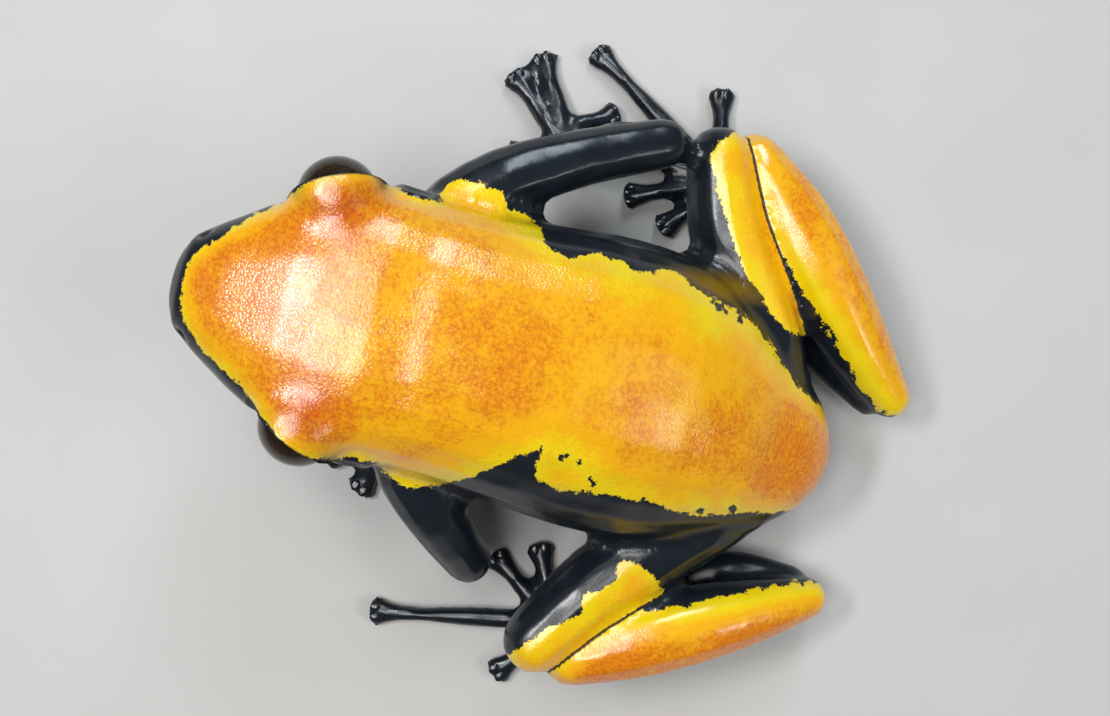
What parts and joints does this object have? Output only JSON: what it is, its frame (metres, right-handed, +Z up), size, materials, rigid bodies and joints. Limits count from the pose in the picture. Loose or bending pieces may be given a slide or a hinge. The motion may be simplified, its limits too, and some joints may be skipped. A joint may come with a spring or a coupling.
{
  "type": "poison frog model",
  "caption": "Life-size still model of a splash-backed poison frog, sitting with its head raised and its hind legs folded, yellow and orange above and glossy black below.",
  "frame": {"origin": "on the floor, under the middle of the whole frog's box", "axes": "+Z up, -Y the way the frog faces, +X the frog's left side"},
  "size_m": [0.0366, 0.0376, 0.0157],
  "materials": {
    "patterned_skin": "gloss",
    "black_skin": "gloss",
    "eye": "gloss"
  },
  "bodies": {
    "root": {"head": "patterned_skin", "torso": "patterned_skin", "eye_left": "eye", "eye_right": "eye", "upper_arm_left": "black_skin", "upper_arm_right": "black_skin", "forearm_left": "black_skin", "forearm_right": "black_skin", "hand_left": "black_skin", "hand_right": "black_skin", "thigh_left": "patterned_skin", "thigh_right": "patterned_skin", "shank_left": "patterned_skin", "shank_right": "patterned_skin", "tarsus_left": "black_skin", "tarsus_right": "black_skin", "foot_left": "black_skin", "foot_right": "black_skin"}
  },
  "joints": []
}
